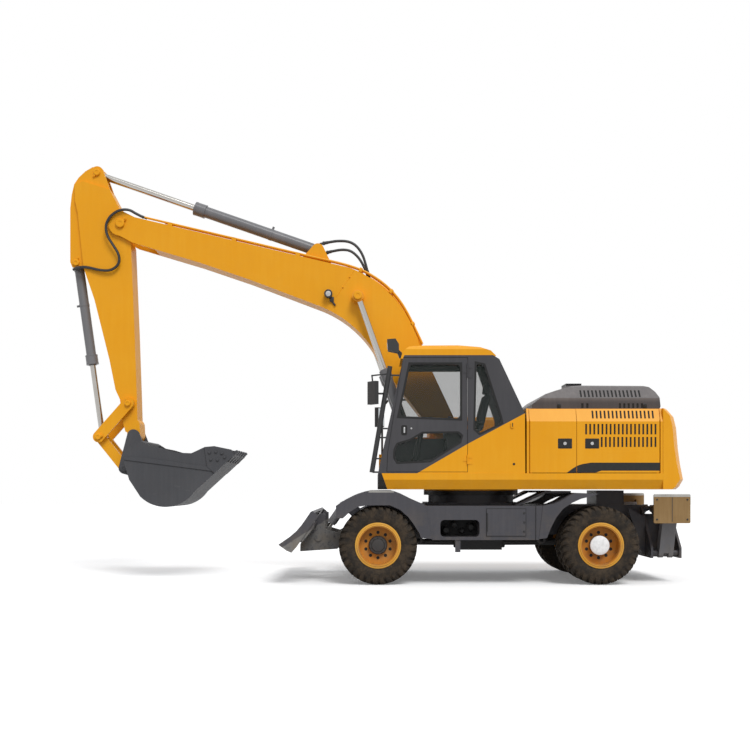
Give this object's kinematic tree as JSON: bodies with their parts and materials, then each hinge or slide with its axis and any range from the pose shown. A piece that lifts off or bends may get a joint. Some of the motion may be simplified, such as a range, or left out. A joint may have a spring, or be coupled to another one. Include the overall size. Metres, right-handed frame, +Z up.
{
  "type": "wheeled excavator",
  "caption": "Wheeled excavator with slewing deck, cab, bent boom, arm and bucket, raised levelling blade and folded outriggers.",
  "frame": {"origin": "centre of the whole machine's plan at ground level, as parked", "axes": "+X the way the cab and boom face, +Y the machine's left (cab side), +Z up"},
  "size_m": [8.576, 2.5836, 5.825],
  "materials": {
    "yellow_paint": "semi-gloss, weathered",
    "grey_paint": "satin",
    "dark_paint": "satin, dusty",
    "rod_chrome": "polished",
    "rim_paint": "satin, dusty",
    "tyre_rubber": "matt, dusty",
    "cab_window": "clear tinted",
    "seat_cloth": "matt",
    "black_plastic": "matt",
    "engine_iron": "matt",
    "worn_pad": "rusty, worn"
  },
  "bodies": {
    "chassis": {"chassis_frame": "dark_paint", "driveline": "dark_paint", "axle_fixed": "dark_paint", "axle_steered": "dark_paint", "side_boxes": "yellow_paint", "fenders": "yellow_paint", "lashing_eyes": "dark_paint"},
    "upper": {"deck": "yellow_paint", "counterweight": "grey_paint", "cab_shell": "grey_paint", "cab_glass": "cab_window", "cab_roof": "yellow_paint", "cab_lamp": "black_plastic", "seat": "seat_cloth", "cab_controls": "black_plastic", "rails_and_mirrors": "black_plastic", "engine_bay_frame": "yellow_paint", "engine": "engine_iron", "fuel_tank": "yellow_paint", "tool_box": "yellow_paint"},
    "boom": {"boom": "yellow_paint", "boom_pipes": "dark_paint", "boom_lamp": "black_plastic"},
    "boom_barrels": {"boom_cylinder_barrels": "dark_paint"},
    "boom_rods": {"boom_cylinder_rods": "rod_chrome"},
    "arm": {"arm": "yellow_paint"},
    "arm_barrel": {"arm_cylinder_barrel": "dark_paint"},
    "arm_rod": {"arm_cylinder_rod": "rod_chrome"},
    "bucket": {"bucket": "dark_paint"},
    "bucket_barrel": {"bucket_cylinder_barrel": "dark_paint"},
    "bucket_rod": {"bucket_cylinder_rod": "rod_chrome"},
    "rocker": {"rocker_plates": "dark_paint"},
    "bucket_link": {"bucket_link": "dark_paint"},
    "blade": {"blade": "dark_paint"},
    "blade_barrels": {"blade_cylinder_barrels": "dark_paint"},
    "blade_rods": {"blade_cylinder_rods": "rod_chrome"},
    "cab_door": {"cab_door": "grey_paint", "cab_door_glass": "cab_window"},
    "side_door_left_front": {"side_door_left_front": "yellow_paint"},
    "side_door_left_rear": {"side_door_left_rear": "yellow_paint"},
    "side_door_right": {"side_door_right": "yellow_paint"},
    "hood": {"hood": "grey_paint"},
    "knuckle_left": {"knuckle_left": "dark_paint"},
    "wheel_front_left": {"rims_front_left": "rim_paint", "tyres_front_left": "tyre_rubber"},
    "wheel_rear_left": {"rims_rear_left": "rim_paint", "tyres_rear_left": "tyre_rubber"},
    "outrigger_left": {"outrigger_leg_left": "dark_paint", "outrigger_foot_left": "worn_pad"},
    "outrigger_barrel_left": {"outrigger_barrel_left": "dark_paint"},
    "outrigger_rod_left": {"outrigger_rod_left": "rod_chrome"},
    "knuckle_right": {"knuckle_right": "dark_paint"},
    "wheel_front_right": {"rims_front_right": "rim_paint", "tyres_front_right": "tyre_rubber"},
    "wheel_rear_right": {"rims_rear_right": "rim_paint", "tyres_rear_right": "tyre_rubber"},
    "outrigger_right": {"outrigger_leg_right": "dark_paint", "outrigger_foot_right": "worn_pad"},
    "outrigger_barrel_right": {"outrigger_barrel_right": "dark_paint"},
    "outrigger_rod_right": {"outrigger_rod_right": "rod_chrome"}
  },
  "joints": [
    {"name": "slew", "type": "hinge", "parent": "chassis", "child": "upper", "pos_m": [-1.388, 0, 1.17], "axis": [0, 0, 1], "continuous": true},
    {"name": "wheel_front_left_spin", "type": "hinge", "parent": "chassis", "child": "wheel_front_left", "pos_m": [-0.068, 0.95, 0.515], "axis": [0, 1, 0], "continuous": true},
    {"name": "steer_left", "type": "hinge", "parent": "chassis", "child": "knuckle_left", "pos_m": [-2.978, 0.6, 0.515], "axis": [0, 0, 1], "range_deg": [-20, 20]},
    {"name": "wheel_rear_left_spin", "type": "hinge", "parent": "knuckle_left", "child": "wheel_rear_left", "pos_m": [-2.978, 0.95, 0.515], "axis": [0, 1, 0], "continuous": true},
    {"name": "wheel_front_right_spin", "type": "hinge", "parent": "chassis", "child": "wheel_front_right", "pos_m": [-0.068, -0.95, 0.515], "axis": [0, 1, 0], "continuous": true},
    {"name": "steer_right", "type": "hinge", "parent": "chassis", "child": "knuckle_right", "pos_m": [-2.978, -0.6, 0.515], "axis": [0, 0, 1], "range_deg": [-20, 20]},
    {"name": "wheel_rear_right_spin", "type": "hinge", "parent": "knuckle_right", "child": "wheel_rear_right", "pos_m": [-2.978, -0.95, 0.515], "axis": [0, 1, 0], "continuous": true},
    {"name": "boom_lift", "type": "hinge", "parent": "upper", "child": "boom", "pos_m": [-1.118, -0.06, 1.95], "axis": [0, -1, 0], "range_deg": [-74, 30]},
    {"name": "boom_cylinder_swing", "type": "hinge", "parent": "upper", "child": "boom_barrels", "pos_m": [-0.668, -0.06, 1.5], "axis": [0, -1, 0], "range_deg": [-73.99, 30.43]},
    {"name": "boom_cylinder_stroke", "type": "slide", "parent": "boom_barrels", "child": "boom_rods", "axis": [0.3375, 0, 0.9413], "range_m": [-0.6783, 0.279]},
    {"name": "arm_crowd", "type": "hinge", "parent": "boom", "child": "arm", "pos_m": [3.557, -0.06, 4.991], "axis": [0, 1, 0], "range_deg": [-100, 15]},
    {"name": "arm_cylinder_swing", "type": "hinge", "parent": "boom", "child": "arm_barrel", "pos_m": [0.781, -0.06, 4.65], "axis": [0, 1, 0], "range_deg": [-6.57, 1.04]},
    {"name": "arm_cylinder_stroke", "type": "slide", "parent": "arm_barrel", "child": "arm_rod", "axis": [0.9447, 0, 0.3278], "range_m": [-1.2692, 0.2011]},
    {"name": "bucket_curl", "type": "hinge", "parent": "arm", "child": "bucket", "pos_m": [3.375, -0.06, 2.005], "axis": [0, 1, 0], "range_deg": [-105, 35]},
    {"name": "bucket_cylinder_swing", "type": "hinge", "parent": "arm", "child": "bucket_barrel", "pos_m": [4.202, -0.06, 4.455], "axis": [0, 1, 0], "range_deg": [-3.18, 1.08]},
    {"name": "bucket_cylinder_stroke", "type": "slide", "parent": "bucket_barrel", "child": "bucket_rod", "axis": [-0.138, 0, -0.9904], "range_m": [-0.7163, 0.2435]},
    {"name": "rocker_swing", "type": "hinge", "parent": "arm", "child": "rocker", "pos_m": [3.443, -0.06, 2.457], "axis": [0, 1, 0], "range_deg": [-74.77, 25.41]},
    {"name": "link_swing", "type": "hinge", "parent": "bucket", "child": "bucket_link", "pos_m": [3.505, -0.06, 1.545], "axis": [0, 1, 0], "range_deg": [-27.58, 81.13]},
    {"name": "blade_lift", "type": "hinge", "parent": "chassis", "child": "blade", "pos_m": [0.382, 0, 0.62], "axis": [0, -1, 0], "range_deg": [-38, 3]},
    {"name": "blade_cylinder_swing", "type": "hinge", "parent": "chassis", "child": "blade_barrels", "pos_m": [0.402, 0, 1.04], "axis": [0, -1, 0], "range_deg": [-10.75, 0.95]},
    {"name": "blade_cylinder_stroke", "type": "slide", "parent": "blade_barrels", "child": "blade_rods", "axis": [0.5655, 0, -0.8247], "range_m": [-0.0136, 0.1541]},
    {"name": "outrigger_left", "type": "hinge", "parent": "chassis", "child": "outrigger_left", "pos_m": [-3.923, 0.825, 0.4], "axis": [-1, 0, 0], "range_deg": [0, 105]},
    {"name": "outrigger_left_cylinder_swing", "type": "hinge", "parent": "chassis", "child": "outrigger_barrel_left", "pos_m": [-3.923, 0.22, 0.98], "axis": [-1, 0, 0], "range_deg": [0, 19.09]},
    {"name": "outrigger_left_cylinder_stroke", "type": "slide", "parent": "outrigger_barrel_left", "child": "outrigger_rod_left", "axis": [0, 0.9382, -0.346], "range_m": [0, 0.4442]},
    {"name": "outrigger_right", "type": "hinge", "parent": "chassis", "child": "outrigger_right", "pos_m": [-3.923, -0.825, 0.4], "axis": [1, 0, 0], "range_deg": [0, 105]},
    {"name": "outrigger_right_cylinder_swing", "type": "hinge", "parent": "chassis", "child": "outrigger_barrel_right", "pos_m": [-3.923, -0.22, 0.98], "axis": [1, 0, 0], "range_deg": [0, 19.09]},
    {"name": "outrigger_right_cylinder_stroke", "type": "slide", "parent": "outrigger_barrel_right", "child": "outrigger_rod_right", "axis": [0, -0.9382, -0.346], "range_m": [0, 0.4442]},
    {"name": "cab_door_swing", "type": "hinge", "parent": "upper", "child": "cab_door", "pos_m": [-1.237, 1.257, 2.2], "axis": [0, 0, 1], "range_deg": [0, 170]},
    {"name": "side_door_left_front_swing", "type": "hinge", "parent": "upper", "child": "side_door_left_front", "pos_m": [-2.068, 1.225, 1.9], "axis": [0, 0, 1], "range_deg": [-100, 0]},
    {"name": "side_door_left_rear_swing", "type": "hinge", "parent": "upper", "child": "side_door_left_rear", "pos_m": [-3.715, 1.225, 1.9], "axis": [0, 0, 1], "range_deg": [0, 115]},
    {"name": "side_door_right_swing", "type": "hinge", "parent": "upper", "child": "side_door_right", "pos_m": [-3.715, -1.225, 1.9], "axis": [0, 0, -1], "range_deg": [0, 115]},
    {"name": "hood_lift", "type": "hinge", "parent": "upper", "child": "hood", "pos_m": [-2.112, 0, 2.323], "axis": [0, 1, 0], "range_deg": [0, 50]}
  ],
  "couplings": [
    {"joint": "steer_right", "follows": "steer_left", "ratio": 1},
    {"joint": "boom_cylinder_swing", "follows": "boom_lift", "ratio": 0.99},
    {"joint": "boom_cylinder_stroke", "follows": "boom_lift", "m_per_rad": 0.52},
    {"joint": "arm_cylinder_swing", "follows": "arm_crowd", "ratio": 0.065},
    {"joint": "arm_cylinder_stroke", "follows": "arm_crowd", "m_per_rad": 0.72},
    {"joint": "bucket_cylinder_swing", "follows": "bucket_curl", "ratio": 0.03},
    {"joint": "bucket_cylinder_stroke", "follows": "bucket_curl", "m_per_rad": 0.387},
    {"joint": "rocker_swing", "follows": "bucket_curl", "ratio": 0.705},
    {"joint": "link_swing", "follows": "bucket_curl", "ratio": -0.765},
    {"joint": "blade_cylinder_swing", "follows": "blade_lift", "ratio": 0.28},
    {"joint": "blade_cylinder_stroke", "follows": "blade_lift", "m_per_rad": -0.23},
    {"joint": "outrigger_left_cylinder_swing", "follows": "outrigger_left", "ratio": 0.18},
    {"joint": "outrigger_left_cylinder_stroke", "follows": "outrigger_left", "m_per_rad": 0.24},
    {"joint": "outrigger_right_cylinder_swing", "follows": "outrigger_right", "ratio": 0.18},
    {"joint": "outrigger_right_cylinder_stroke", "follows": "outrigger_right", "m_per_rad": 0.24}
  ]
}
